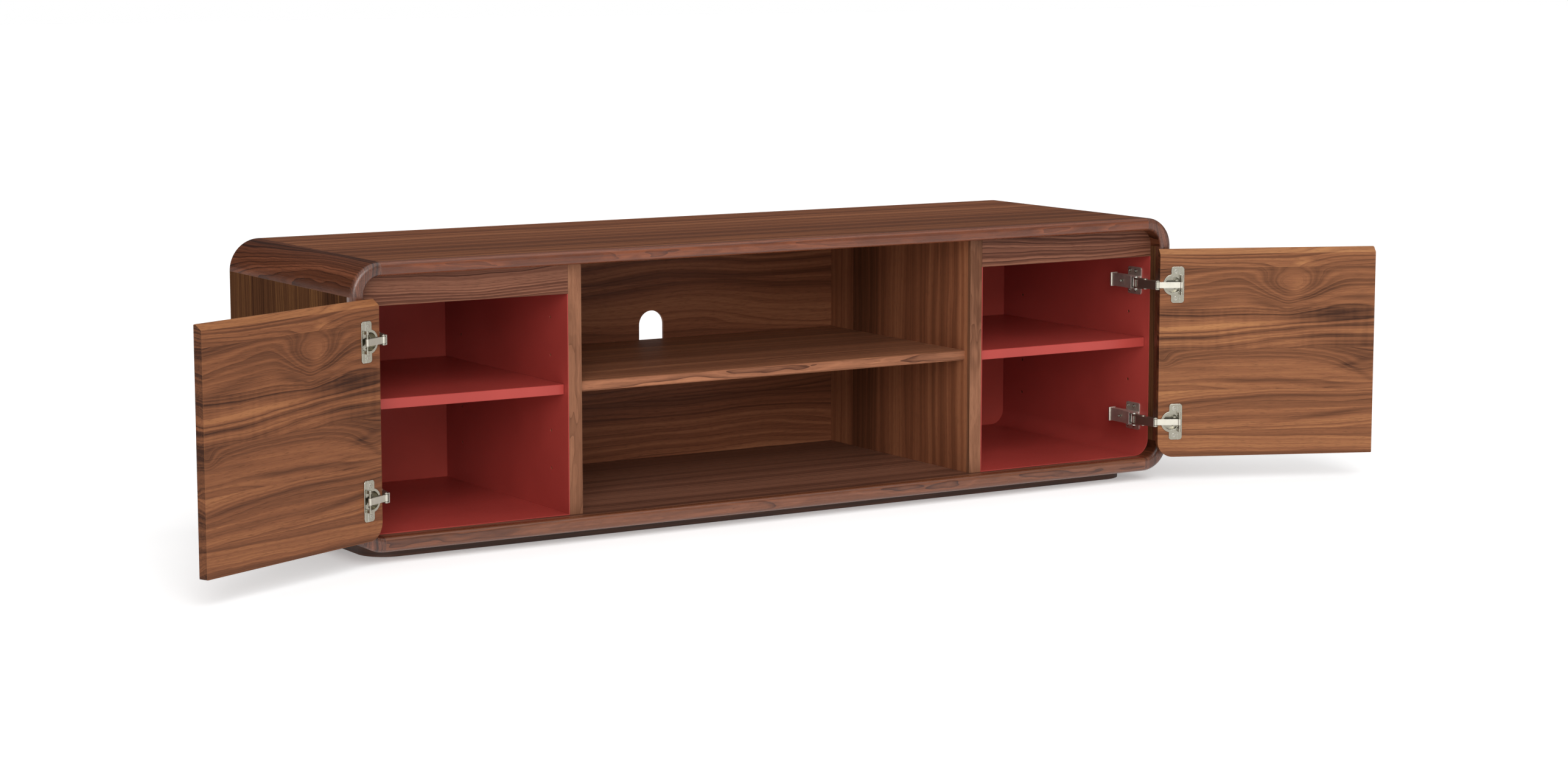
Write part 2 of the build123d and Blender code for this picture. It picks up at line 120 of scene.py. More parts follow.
TOP_TONES = wood_tones("3E2012", "78462B", "9F6745")
SIDE_TONES = wood_tones("2E1B13", "533522", "6E4B2D")
CORNER_TONES = wood_tones("30170D", "59311F", "824D35")
LIPPING_TONES = {"top": wood_tones("34160D", "723C22", "A15D3D"),
                 "bottom": wood_tones("2E140D", "683C26", "985F44")}
BOTTOM_TONES = wood_tones("40251B", "79503E", "A47158")
DIVIDER_TONES = wood_tones("4E2E1E", "845036", "A86E4C")
STRIP_TONES = wood_tones("5A3826", "875B43", "A87C5C")
HEADER_TONES = wood_tones("3D2015", "6A4232", "895C47")
BACK_TONES = wood_tones("3C1F14", "7C4A32", "A36B4A")
SHELF_TONES = wood_tones("4F2F21", "956247", "C58961")
DOOR_TONES = {"left": wood_tones("351C10", "7A4B30", "A16B44"),
              "right": wood_tones("381F13", "805135", "A8744A")}

# Where each door's pattern starts, and how far the open door is turned, in degrees.
DOOR_CORNER = {"left": (-1.119945, -0.428398, 0.0), "right": (0.761578, -0.257789, 0.0)}
DOOR_TURN = {"left": 25.5, "right": -23.5}

# Marks in the doors' wood. Each has a place along and up the door and two half sizes, in metres,
# then what it pushes at its middle, and its turn in degrees.
# One soft eye with the lines under it dipping to a point, and a small knot at one edge.
DOOR_FIGURES = (
    (0.245, 0.346, 0.056, 0.035, 0.042, 0), (0.236, 0.316, 0.018, 0.016, 0.008, 0),
    (0.008, 0.218, 0.020, 0.014, 0.014, 0), (0.375, 0.200, 0.040, 0.020, 0.014, 0))
# Paler and darker streaks: these push the shade.
DOOR_STREAKS = (
    (0.265, 0.392, 0.015, 0.008, 0.15, 0), (0.247, 0.370, 0.045, 0.018, 0.04, 0),
    (0.256, 0.345, 0.022, 0.013, 0.12, 40), (0.085, 0.326, 0.080, 0.009, -0.15, 8),
    (0.195, 0.322, 0.035, 0.008, -0.18, -12), (0.300, 0.338, 0.050, 0.008, -0.12, 18),
    (0.370, 0.328, 0.050, 0.008, -0.10, -4), (0.020, 0.350, 0.060, 0.016, 0.06, 0),
    (0.340, 0.296, 0.100, 0.018, -0.30, 0), (0.060, 0.304, 0.120, 0.007, -0.14, 0),
    (0.090, 0.280, 0.110, 0.007, 0.26, 2), (0.050, 0.2585, 0.100, 0.005, -0.14, 0),
    (0.250, 0.246, 0.080, 0.008, 0.12, 0), (0.300, 0.264, 0.100, 0.007, -0.10, -5),
    (0.065, 0.204, 0.050, 0.005, -0.11, 0), (0.160, 0.182, 0.050, 0.005, -0.11, -3),
    (0.300, 0.172, 0.090, 0.006, -0.13, -6), (0.355, 0.207, 0.030, 0.005, -0.11, 15),
    (0.377, 0.190, 0.030, 0.005, -0.11, -28), (0.160, 0.147, 0.150, 0.005, -0.06, 2),
    (0.270, 0.112, 0.100, 0.004, -0.09, 8), (0.340, 0.119, 0.080, 0.004, -0.09, 8))
# Calm spots, where the rings fade.
DOOR_CALM = (
    (0.247, 0.366, 0.055, 0.024, 0.65, 0), (0.200, 0.200, 0.350, 0.036, 0.50, 0),
    (0.200, 0.125, 0.350, 0.030, 0.30, 0), (0.100, 0.350, 0.100, 0.020, 0.30, 0))
# What each stave adds to the shade, and the slope of its grain, from the lowest stave up.
DOOR_LEVELS = ((-0.16, 0.0), (0.0, 0.09), (-0.05, 0.0), (-0.05, 0.0), (-0.03, 0.0), (-0.04, 0.0))
# The curly stave: the height of its middle, its half height in metres, and how strong it is.
DOOR_CURL = (0.2745, 0.0365, 0.17)


class WalnutSettings(bpy.types.PropertyGroup):
    """Sizes and finish of the walnut, and the colours of its veneer."""

    streak: bpy.props.FloatVectorProperty(
        name="Streaks", description="Dark streaks of the veneer behind the compartments",
        default=linear("3A2016"), **COLOUR)
    heart: bpy.props.FloatVectorProperty(
        name="Heartwood", description="Main colour of that veneer",
        default=linear("7A4C33"), **COLOUR)
    pale: bpy.props.FloatVectorProperty(
        name="Pale wood", description="Palest bands of that veneer",
        default=linear("A97450"), **COLOUR)
    stave_width: bpy.props.FloatProperty(
        name="Stave width", description="Width of the staves glued into a door",
        default=73.5 * MM, **LENGTH)
    ring_spacing: bpy.props.FloatProperty(
        name="Ring spacing", description="Spacing of the growth rings on a door",
        default=9.0 * MM, **LENGTH)
    pore_length: bpy.props.FloatProperty(
        name="Pore length", description="Length of the open pores on a face",
        default=16.0 * MM, **LENGTH)
    sheen: bpy.props.FloatProperty(
        name="Roughness", description="Roughness of the oiled surface", default=0.42, **SHARE)


class LacquerSettings(bpy.types.PropertyGroup):
    """Colours and gloss of the lacquered compartments."""

    colour: bpy.props.FloatVectorProperty(
        name="Lacquer", description="Colour of the red lacquer",
        default=linear("AC423B"), **COLOUR)
    # The backs' lacquer is drawn lighter than the rest: painted light, for the light that reaches
    # deep into the compartments.
    back: bpy.props.FloatVectorProperty(
        name="Back panels", description="Colour of the lacquer on the back panels",
        default=linear("BD4E43"), **COLOUR)
    roughness: bpy.props.FloatProperty(
        name="Roughness", description="Roughness of the satin lacquer", default=0.38, **SHARE)


class HingeSettings(bpy.types.PropertyGroup):
    """Colours of the concealed hinges."""

    nickel: bpy.props.FloatVectorProperty(
        name="Nickel", description="Colour of the bright nickel plating",
        default=linear("A19D8F"), **COLOUR)
    arm: bpy.props.FloatVectorProperty(
        name="Arm nickel", description="Colour of the plated arms and mounting plates",
        default=linear("E2DFD6"), **COLOUR)
    satin: bpy.props.FloatVectorProperty(
        name="Satin nickel", description="Colour of the satin-plated bars",
        default=linear("C9C5B8"), **COLOUR)


class StudioSettings(bpy.types.PropertyGroup):
    """Floor, lights and camera of the studio."""

    floor_side: bpy.props.FloatProperty(
        name="Floor side", description="Side of the square floor", default=60.0, **LENGTH)
    front_wall: bpy.props.FloatProperty(
        name="Front wall", description="How bright the studio is in front of the cabinet",
        default=0.65, min=0.0)
    back_wall: bpy.props.FloatProperty(
        name="Back wall", description="How bright the studio is behind the cabinet",
        default=0.12, min=0.0)
    ceiling: bpy.props.FloatProperty(
        name="Ceiling", description="How bright the studio ceiling is", default=0.4, min=0.0)
    key: bpy.props.FloatProperty(
        name="Key light", description="Strength of the large light in front",
        default=1.5, min=0.0)
    key_azimuth: bpy.props.FloatProperty(
        name="Key direction", description="Turn of the large light from the front",
        default=radians(-22), unit="ROTATION", subtype="ANGLE")
    fill: bpy.props.FloatProperty(
        name="Fill light", description="Strength of the low light beside the camera",
        default=0.6, min=0.0)
    overhead: bpy.props.FloatProperty(
        name="Overhead light", description="Strength of the light above",
        default=1.2, min=0.0)
    lens: bpy.props.FloatProperty(
        name="Lens", description="Focal length of the camera, in millimetres",
        default=75.589, min=1.0)


def add(tree, kind, inputs=None, ramp=None, **settings):
    """Add a node, set its settings, and fill or link its inputs."""
    node = tree.nodes.new(kind)
    for name, value in settings.items():
        setattr(node, name, value)
    for socket, value in (inputs or {}).items():
        if isinstance(value, bpy.types.Node):
            value = value.outputs[0]
        if isinstance(value, bpy.types.NodeSocket):
            tree.links.new(value, node.inputs[socket])
        else:
            node.inputs[socket].default_value = value
    if ramp:
        stops = node.color_ramp.elements
        while len(stops) < len(ramp):
            stops.new(0.5)
        for stop, (place, colour) in zip(stops, ramp):
            stop.position = place
            stop.color = colour
    return node


def new_material(name):
    """An empty material and its node tree."""
    material = bpy.data.materials.new(name)
    material.use_nodes = True
    material.node_tree.nodes.clear()
    return material, material.node_tree


def finish_surface(tree, colour, roughness, height, depth, edge, **shader):
    """Join colour, roughness and relief into a shader whose sharp edges are eased by a radius."""
    eased = add(tree, "ShaderNodeBevel", {"Radius": edge}, samples=BEVEL_SAMPLES)
    relief = add(tree, "ShaderNodeBump", {"Height": height, "Distance": depth, "Strength": 1.0,
                                          "Normal": eased})
    inputs = {"Base Color": colour, "Roughness": roughness, "Normal": relief}
    inputs.update({name.replace("_", " "): value for name, value in shader.items()})
    surface = add(tree, "ShaderNodeBsdfPrincipled", inputs)
    add(tree, "ShaderNodeOutputMaterial", {"Surface": surface})


def edge_highlight_mask(tree, radius):
    """One along the edges, where a highlight is painted, nought on open faces."""
    eased = add(tree, "ShaderNodeBevel", {"Radius": radius}, samples=BEVEL_SAMPLES)
    face = add(tree, "ShaderNodeNewGeometry")
    same = add(tree, "ShaderNodeVectorMath", {0: eased, 1: face.outputs["True Normal"]},
               operation="DOT_PRODUCT")
    return add(tree, "ShaderNodeMapRange", {"Value": same.outputs["Value"], "From Min": 0.98,
                                            "From Max": 0.80})


def soft_spots(tree, where, value, spots):
    """Add round-edged pushes to a value: each has a place, half sizes, a push and a turn."""
    for (u, v, wide, tall, push, turn) in spots:
        near = add(tree, "ShaderNodeMapping", {
            "Vector": where, "Location": (u, v, 0), "Rotation": (0, 0, radians(turn)),
            "Scale": (wide, tall, THROUGH)}, vector_type="TEXTURE")
        near = add(tree, "ShaderNodeVectorMath", {0: near, 1: near}, operation="DOT_PRODUCT")
        near = add(tree, "ShaderNodeMath", {0: near.outputs["Value"], 1: -1.0},
                   operation="MULTIPLY")
        near = add(tree, "ShaderNodeMath", {0: near}, operation="EXPONENT")
        value = add(tree, "ShaderNodeMath", {0: near, 1: push, 2: value},
                    operation="MULTIPLY_ADD")
    return value


def log_place(tree, flat, across, seed, stave, stave_start):
    """Where in the log a board is cut; a panel's staves come from different places.

    Also gives each stave's random tone, or None for a single board.
    """
    if not stave:
        shift = [seed * step for step in BOARD_SHIFT]
        return add(tree, "ShaderNodeVectorMath", {0: flat, 1: shift}, operation="ADD"), None
    count = add(tree, "ShaderNodeMath", {0: across, 1: stave_start}, operation="SUBTRACT")
    count = add(tree, "ShaderNodeMath", {0: count, 1: stave}, operation="DIVIDE")
    count = add(tree, "ShaderNodeMath", {0: count}, operation="FLOOR")
    count = add(tree, "ShaderNodeMath", {0: count, 1: seed}, operation="ADD")
    pick = add(tree, "ShaderNodeTexWhiteNoise", {"W": count}, noise_dimensions="1D")
    cut = add(tree, "ShaderNodeVectorMath", {0: pick.outputs["Color"], 1: STAVE_SHIFT, 2: flat},
              operation="MULTIPLY_ADD")
    return cut, pick.outputs["Value"]


def stave_levels(tree, along, across, foot, stave, levels):
    """What each stave adds to the shade, and how far its sloping grain has risen."""
    rise = add(tree, "ShaderNodeMapRange", {"Value": across, "From Min": foot,
                                            "From Max": foot + len(levels) * stave})
    # Red holds the level and green the slope, both about one half.
    rise = add(tree, "ShaderNodeValToRGB", {0: rise}, ramp=[
        (i / len(levels), (0.5 + level, 0.5 + slope, 0.0, 1.0))
        for i, (level, slope) in enumerate(levels)])
    rise.color_ramp.interpolation = "CONSTANT"
    rise = add(tree, "ShaderNodeSeparateColor", {0: rise})
    level = add(tree, "ShaderNodeMath", {0: rise.outputs[0], 1: -0.5}, operation="ADD")
    slope = add(tree, "ShaderNodeMath", {0: rise.outputs[1], 1: -0.5}, operation="ADD")
    return level, add(tree, "ShaderNodeMath", {0: slope, 1: along}, operation="MULTIPLY")


def curly_stave(tree, cut, across, shade, curl):
    """Ripple the shade of one stave across its grain, as in curly wood."""
    middle, half_height, strength = curl
    ripple = add(tree, "ShaderNodeVectorMath", {0: cut, 1: grain_scale(*CURL_SIZE)},
                 operation="MULTIPLY")
    ripple = add(tree, "ShaderNodeTexNoise", {"Vector": ripple, "Scale": 1.0, "Detail": 1.0,
                                              "Roughness": 0.5})
    ripple = add(tree, "ShaderNodeMath", {0: ripple, 1: -0.5}, operation="ADD")
    near = add(tree, "ShaderNodeMath", {0: across, 1: middle}, operation="SUBTRACT")
    near = add(tree, "ShaderNodeMath", {0: near}, operation="ABSOLUTE")
    near = add(tree, "ShaderNodeMapRange", {
        "Value": near, "From Min": half_height, "From Max": half_height * 1.1,
        "To Min": strength, "To Max": 0.0})
    return add(tree, "ShaderNodeMath", {0: ripple, 1: near, 2: shade}, operation="MULTIPLY_ADD")


def sawn_edges(tree, where, turn, shade, lit_bevel):
    """Lighten the bevel along a door's top with painted light, and darken its two ends."""
    # Painted light: the bevel faces up, so it is drawn paler, as where the light from above falls on
    # it.
    face = add(tree, "ShaderNodeNewGeometry")
    up = add(tree, "ShaderNodeSeparateXYZ", {0: face.outputs["True Normal"]})
    up = add(tree, "ShaderNodeMapRange", {"Value": up.outputs["Z"], "From Min": 0.2,
                                          "From Max": 0.5, "To Max": lit_bevel})
    shade = add(tree, "ShaderNodeMath", {0: shade, 1: up}, operation="ADD")
    # The sawn ends drink more oil than the faces, so they are darker.
    ends = add(tree, "ShaderNodeVectorMath", {
        0: where.outputs["Normal"], 1: (cos(turn), sin(turn), 0.0)}, operation="DOT_PRODUCT")
    ends = add(tree, "ShaderNodeMath", {0: ends.outputs["Value"]}, operation="ABSOLUTE")
    ends = add(tree, "ShaderNodeMapRange", {"Value": ends, "From Min": 0.6, "From Max": 0.8,
                                            "To Max": END_GRAIN_DROP})
    return add(tree, "ShaderNodeMath", {0: shade, 1: ends}, operation="SUBTRACT")


def walnut(name, axes, wood, tones, wander, place=(0, 0, 0), turn=0.0, seed=0.0, stave=None,
           stave_start=0.0, ring=None, lines=0.5, contrast=1.0, gloss=OILED_GLOSS,
           front_gloss=None, sheen=None, figures=(), calm=(), levels=(), streaks=(), curl=None,
           lit_bevel=0.0):
    """Black walnut, planed, sanded and oiled.

    The eye gets brown rings that bulge into arches, thin dark year lines, short open pores and
    a low satin sheen. axes gives the grain, width and thickness directions of the board.
    figures move its ring lines, calm spots fade them, and streaks darken or lighten it.
    """
    streak, heart, pale = tones
    ring = ring or wood.ring_spacing
    material, tree = new_material(name)
    where = add(tree, "ShaderNodeTexCoord")
    board = add(tree, "ShaderNodeMapping", {"Vector": where.outputs["Object"], "Location": place,
                                            "Rotation": (0, 0, turn)}, vector_type="TEXTURE")
    split = add(tree, "ShaderNodeSeparateXYZ", {0: board})
    along, across, depth = (split.outputs[axis.upper()] for axis in axes)
    flat = add(tree, "ShaderNodeCombineXYZ", {0: along, 1: across, 2: depth})
    cut, tone = log_place(tree, flat, across, seed, stave, stave_start)

    patterns = []
    for size, detail, roughness in (
            (ARCH_SIZE, 1.0, 0.4), (WAVE_SIZE, 2.0, 0.5), (FIBRE_SIZE, 3.0, 0.6),
            ((wood.pore_length, PORE_WIDTH), 1.0, 0.5)):
        stretched = add(tree, "ShaderNodeVectorMath", {0: cut, 1: grain_scale(*size)},
                        operation="MULTIPLY")
        patterns.append(add(tree, "ShaderNodeTexNoise", {
            "Vector": stretched, "Scale": 1.0, "Detail": detail, "Roughness": roughness}))
    arches, waves, fibre, pores = patterns
    pores = add(tree, "ShaderNodeMapRange", {"Value": pores, "From Min": 0.58, "From Max": 0.70})

    # The depth in the log wanders along a flat-sawn board, so its ring lines bulge into arches.
    field = add(tree, "ShaderNodeSeparateXYZ", {0: cut})
    field = add(tree, "ShaderNodeMath", {0: arches, 1: wander, 2: field.outputs["Y"]},
                operation="MULTIPLY_ADD")
    field = add(tree, "ShaderNodeMath", {0: waves, 1: WAVE_DEPTH, 2: field},
                operation="MULTIPLY_ADD")
    field = soft_spots(tree, flat, field, figures)
    if levels:
        level, risen = stave_levels(tree, along, across, stave_start, stave, levels)
        field = add(tree, "ShaderNodeMath", {0: field, 1: risen}, operation="SUBTRACT")
    rings = add(tree, "ShaderNodeMath", {0: field, 1: 1 / ring}, operation="MULTIPLY")
    rings = add(tree, "ShaderNodeTexNoise", {
        "W": rings, "Scale": 1.0, "Detail": 3.0, "Roughness": 0.62}, noise_dimensions="1D")
    bands = add(tree, "ShaderNodeMath", {
        0: field, 1: 1 / (RINGS_IN_BAND * ring), 2: BAND_START}, operation="MULTIPLY_ADD")
    bands = add(tree, "ShaderNodeTexNoise", {
        "W": bands, "Scale": 1.0, "Detail": 1.0, "Roughness": 0.5}, noise_dimensions="1D")
    # Each year ends in a thin dark line that fades in and stops sharply.
    years = add(tree, "ShaderNodeMath", {0: field, 1: YEARS_PER_RING / ring},
                operation="MULTIPLY")
    years = add(tree, "ShaderNodeMath", {0: bands, 1: YEAR_DRIFT, 2: years},
                operation="MULTIPLY_ADD")
    years = add(tree, "ShaderNodeMath", {0: years}, operation="FRACT")
    years = add(tree, "ShaderNodeMath", {0: years, 1: YEAR_SHARPNESS}, operation="POWER")
    years = add(tree, "ShaderNodeMath", {0: years, 1: arches}, operation="MULTIPLY")
    if calm:
        # Swirled wood shows its rings far less than the straight grain beside it.
        ease = soft_spots(tree, flat, 0.0, calm)
        rings = add(tree, "ShaderNodeMix", {0: ease, 2: rings, 3: 0.5})
        years = add(tree, "ShaderNodeMix", {0: ease, 2: years, 3: 0.0})

    shade = SHADE_SHIFT
    for pattern, weight in ((rings, RING_WEIGHT), (bands, BAND_WEIGHT), (fibre, FIBRE_WEIGHT),
                            (years, -lines)):
        shade = add(tree, "ShaderNodeMath", {0: pattern, 1: weight, 2: shade},
                    operation="MULTIPLY_ADD")
    if contrast != 1.0:
        shade = add(tree, "ShaderNodeMath", {
            0: shade, 1: contrast, 2: MIDDLE_SHADE * (1.0 - contrast)}, operation="MULTIPLY_ADD")
    if levels:
        shade = add(tree, "ShaderNodeMath", {0: shade, 1: level}, operation="ADD")
    elif tone:
        shade = add(tree, "ShaderNodeMath", {0: tone, 1: STAVE_SPREAD, 2: shade},
                    operation="MULTIPLY_ADD")
        shade = add(tree, "ShaderNodeMath", {0: shade, 1: -STAVE_SPREAD / 2}, operation="ADD")
    shade = soft_spots(tree, flat, shade, streaks)
    if curl:
        shade = curly_stave(tree, cut, across, shade, curl)
    if lit_bevel:
        shade = sawn_edges(tree, where, turn, shade, lit_bevel)

    colour = add(tree, "ShaderNodeValToRGB", {0: shade}, ramp=(
        (0.18, streak), (0.40, mixed(streak, heart, 0.62)), (MIDDLE_SHADE, heart),
        (0.70, mixed(heart, pale, 0.6)), (0.90, pale)))
    veil = add(tree, "ShaderNodeMath", {0: pores, 1: PORE_DARKNESS}, operation="MULTIPLY")
    colour = add(tree, "ShaderNodeMix", {0: veil, 6: colour, 7: mixed(streak, heart, 0.25)},
                 data_type="RGBA")
    # Painted highlight: edges are drawn paler, as where light catches them.
    edge_highlight = add(tree, "ShaderNodeMath", {0: edge_highlight_mask(tree, 1.3 * MM), 1: 0.45},
               operation="MULTIPLY")
    colour = add(tree, "ShaderNodeMix", {0: edge_highlight, 6: colour.outputs[2], 7: pale},
                 data_type="RGBA")
    dull = add(tree, "ShaderNodeMath", {0: fibre, 1: 0.22, 2: (sheen or wood.sheen) - 0.11},
               operation="MULTIPLY_ADD")
    dull = add(tree, "ShaderNodeMath", {0: pores, 1: 0.12, 2: dull}, operation="MULTIPLY_ADD")
    height = add(tree, "ShaderNodeMath", {0: pores, 1: -PORE_DEPTH, 2: fibre},
                 operation="MULTIPLY_ADD")
    if front_gloss:
        # Hands polish the rounded front edges, and the broad faces stay matt.
        front = add(tree, "ShaderNodeSeparateXYZ", {0: where.outputs["Normal"]})
        gloss = add(tree, "ShaderNodeMapRange", {
            "Value": front.outputs["Y"], "From Min": -0.05, "From Max": -0.4,
            "To Min": gloss, "To Max": front_gloss})
    finish_surface(tree, colour.outputs[2], dull, height, 0.12 * MM, 0.9 * MM, IOR=FILM_IOR,
                   Specular_IOR_Level=gloss)
    return material


def lacquer(name, paint, colour_on, veneer=None):
    """Satin lacquer, sprayed on smooth board.

    The eye gets a flat warm red with a faint cloudiness and a slight orange peel in its sheen. A
    veneer, given as the tones of walnut, covers the faces behind the compartments.
    """
    material, tree = new_material(name)
    where = add(tree, "ShaderNodeTexCoord")
    # Clouds 167 mm across, and an orange peel of 2.6 mm.
    cloud = add(tree, "ShaderNodeTexNoise", {
        "Vector": where.outputs["Object"], "Scale": 1 / (166.667 * MM), "Detail": 3.0,
        "Roughness": 0.5})
    peel = add(tree, "ShaderNodeTexNoise", {
        "Vector": where.outputs["Object"], "Scale": 1 / (2.63158 * MM), "Detail": 2.0,
        "Roughness": 0.5})
    spread = add(tree, "ShaderNodeMapRange", {"Value": cloud, "From Min": 0.3, "From Max": 0.7,
                                              "To Min": 0.3})
    colour = add(tree, "ShaderNodeMix", {
        0: spread, 6: mixed(colour_on, POOLED_RED, 0.35), 7: colour_on}, data_type="RGBA")
    # Painted highlight: edges are drawn a brighter red, as where light catches them.
    edge_highlight = add(tree, "ShaderNodeMath", {0: edge_highlight_mask(tree, 1.2 * MM), 1: 0.35},
               operation="MULTIPLY")
    colour = add(tree, "ShaderNodeMix", {0: edge_highlight, 6: colour.outputs[2], 7: EDGE_HIGHLIGHT_RED},
                 data_type="RGBA")
    coat, gloss = LACQUER_COAT, LACQUER_GLOSS
    if veneer:
        # Sliced veneer: straight lines 16 mm apart and about 450 mm long.
        streak, heart, pale = veneer
        grain = add(tree, "ShaderNodeVectorMath", {
            0: where.outputs["Object"], 1: (1 / (454.55 * MM), 1.0, 1 / (16.129 * MM))},
            operation="MULTIPLY")
        grain = add(tree, "ShaderNodeTexNoise", {
            "Vector": grain, "Scale": 1.0, "Detail": 6.0, "Roughness": 0.6, "Distortion": 0.6})
        grain = add(tree, "ShaderNodeValToRGB", {0: grain}, ramp=(
            (0.30, mixed(streak, heart, 0.45)), (0.50, mixed(streak, heart, 0.85)),
            (0.72, mixed(heart, pale, 0.45))))
        rear = add(tree, "ShaderNodeSeparateXYZ", {0: where.outputs["Object"]})
        rear = add(tree, "ShaderNodeMath", {0: rear.outputs["Y"], 1: REAR_FACE},
                   operation="GREATER_THAN")
        colour = add(tree, "ShaderNodeMix", {0: rear, 6: colour.outputs[2], 7: grain},
                     data_type="RGBA")
        coat = add(tree, "ShaderNodeMath", {0: rear, 1: -LACQUER_COAT, 2: LACQUER_COAT},
                   operation="MULTIPLY_ADD")
        gloss = add(tree, "ShaderNodeMath", {
            0: rear, 1: OILED_GLOSS - LACQUER_GLOSS, 2: LACQUER_GLOSS}, operation="MULTIPLY_ADD")
    dull = add(tree, "ShaderNodeMath", {0: peel, 1: 0.12, 2: paint.roughness - 0.06},
               operation="MULTIPLY_ADD")
    finish_surface(tree, colour.outputs[2], dull, peel, 0.03 * MM, 0.8 * MM, IOR=FILM_IOR,
                   Specular_IOR_Level=gloss, Coat_Weight=coat, Coat_Roughness=0.2)
    return material


def plating(name, colour, roughness, brushed=0.0):
    """Nickel or zinc, plated on pressed steel or cast zinc.

    The eye gets a warm grey metal with fine drawing lines, faint clouding and a painted highlight
    along its edges.
    """
    material, tree = new_material(name)
    where = add(tree, "ShaderNodeTexCoord")
    # Drawing lines 0.4 mm apart and 3.3 mm long, and clouds 11 mm across.
    lines = add(tree, "ShaderNodeVectorMath", {
        0: where.outputs["Object"],
        1: (1 / (3.33333 * MM), 1 / (3.33333 * MM), 1 / (0.384615 * MM))}, operation="MULTIPLY")
    lines = add(tree, "ShaderNodeTexNoise", {"Vector": lines, "Scale": 1.0, "Detail": 2.0,
                                             "Roughness": 0.6})
    cloud = add(tree, "ShaderNodeTexNoise", {
        "Vector": where.outputs["Object"], "Scale": 1 / (11.1111 * MM), "Detail": 2.0,
        "Roughness": 0.5})
    tint = add(tree, "ShaderNodeMapRange", {"Value": cloud, "From Min": 0.3, "From Max": 0.7,
                                            "To Max": 0.25})
    shaded = add(tree, "ShaderNodeMix", {
        0: tint, 6: colour, 7: mixed(colour, DULLED_NICKEL, 0.6)}, data_type="RGBA")
    # Painted highlight: edges are drawn whiter, as where light catches them.
    edge_highlight = edge_highlight_mask(tree, 0.8 * MM)
    shaded = add(tree, "ShaderNodeMix", {0: edge_highlight, 6: shaded.outputs[2], 7: EDGE_HIGHLIGHT_NICKEL},
                 data_type="RGBA")
    dull = add(tree, "ShaderNodeMath", {0: lines, 1: 0.14 + brushed, 2: roughness - 0.07},
               operation="MULTIPLY_ADD")
    finish_surface(tree, shaded.outputs[2], dull, lines, (0.01 + 0.03 * brushed) * MM, 0.7 * MM,
                   Metallic=1.0)
    return material


def stained(name):
    """Plywood, stained dark.

    The eye gets a nearly black brown with the grain just showing.
    """
    material, tree = new_material(name)
    where = add(tree, "ShaderNodeTexCoord")
    # Grain lines 3.8 mm apart and 167 mm long.
    grain = add(tree, "ShaderNodeVectorMath", {
        0: where.outputs["Object"],
        1: (1 / (166.667 * MM), 1 / (166.667 * MM), 1 / (3.84615 * MM))}, operation="MULTIPLY")
    grain = add(tree, "ShaderNodeTexNoise", {"Vector": grain, "Scale": 1.0, "Detail": 4.0,
                                             "Roughness": 0.6})
    colour = add(tree, "ShaderNodeValToRGB", {0: grain}, ramp=list(zip((0.30, 0.55, 0.75), STAIN)))
    dull = add(tree, "ShaderNodeMath", {0: grain, 1: 0.25, 2: 0.42}, operation="MULTIPLY_ADD")
    finish_surface(tree, colour, dull, grain, 0.08 * MM, 1.0 * MM, IOR=FILM_IOR)
    return material


def cover(material, *names):
    """Give CAD nodes one material."""
    for name in names:
        mesh = nodes[name].data
        mesh.materials.clear()
        mesh.materials.append(material)


class CABINET_OT_carcass(bpy.types.Operator):
    """Finish the outer boards, corner blocks and front lippings."""

    bl_idname = "cabinet.carcass"
    bl_label = "Carcass"

    def execute(self, context):
        wood = context.scene.cabinet_walnut
        cover(walnut("Oiled walnut top", "xyz", wood, TOP_TONES, wander=0.05, seed=3.0,
                     stave=96.8 * MM, stave_start=-241 * MM, ring=5 * MM, lines=0.7,
                     contrast=1.5, gloss=0.08),
              "top_panel")
        cover(walnut("Oiled walnut bottom", "xyz", wood, BOTTOM_TONES, wander=0.05, seed=12.0,
                     stave=95 * MM, stave_start=-225 * MM, ring=6 * MM, lines=0.6),
              "bottom_panel")
        for side, seed in zip(SIDES, (1.0, 6.0)):
            cover(walnut("Oiled walnut side " + side, "zyx", wood, SIDE_TONES, wander=0.06,
                         seed=seed, stave=93 * MM, stave_start=-225 * MM, ring=7 * MM,
                         gloss=0.0),
                  "side_panel_" + side)
        for i, place in enumerate(("top_left", "top_right", "bottom_left", "bottom_right")):
            cover(walnut("Solid walnut corner " + place, "yxz", wood, CORNER_TONES, wander=0.09,
                         seed=2.0 + i, ring=6 * MM, lines=0.7, contrast=1.35, gloss=0.04,
                         front_gloss=0.7, sheen=0.30),
                  "corner_block_" + place)
        for i, (place, tones) in enumerate(LIPPING_TONES.items()):
            cover(walnut("Solid walnut lipping " + place, "xyz", wood, tones, wander=0.02,
                         seed=5.0 + i, ring=4 * MM, lines=0.45, gloss=0.55, sheen=0.26),
                  place + "_front_lipping")
        for i, side in enumerate(SIDES):
            cover(walnut("Solid walnut lipping " + side, "zyx", wood, CORNER_TONES, wander=0.03,
                         seed=8.0 + i, ring=5 * MM, gloss=0.8, sheen=0.30),
                  "side_front_lipping_" + side)
        return {"FINISHED"}


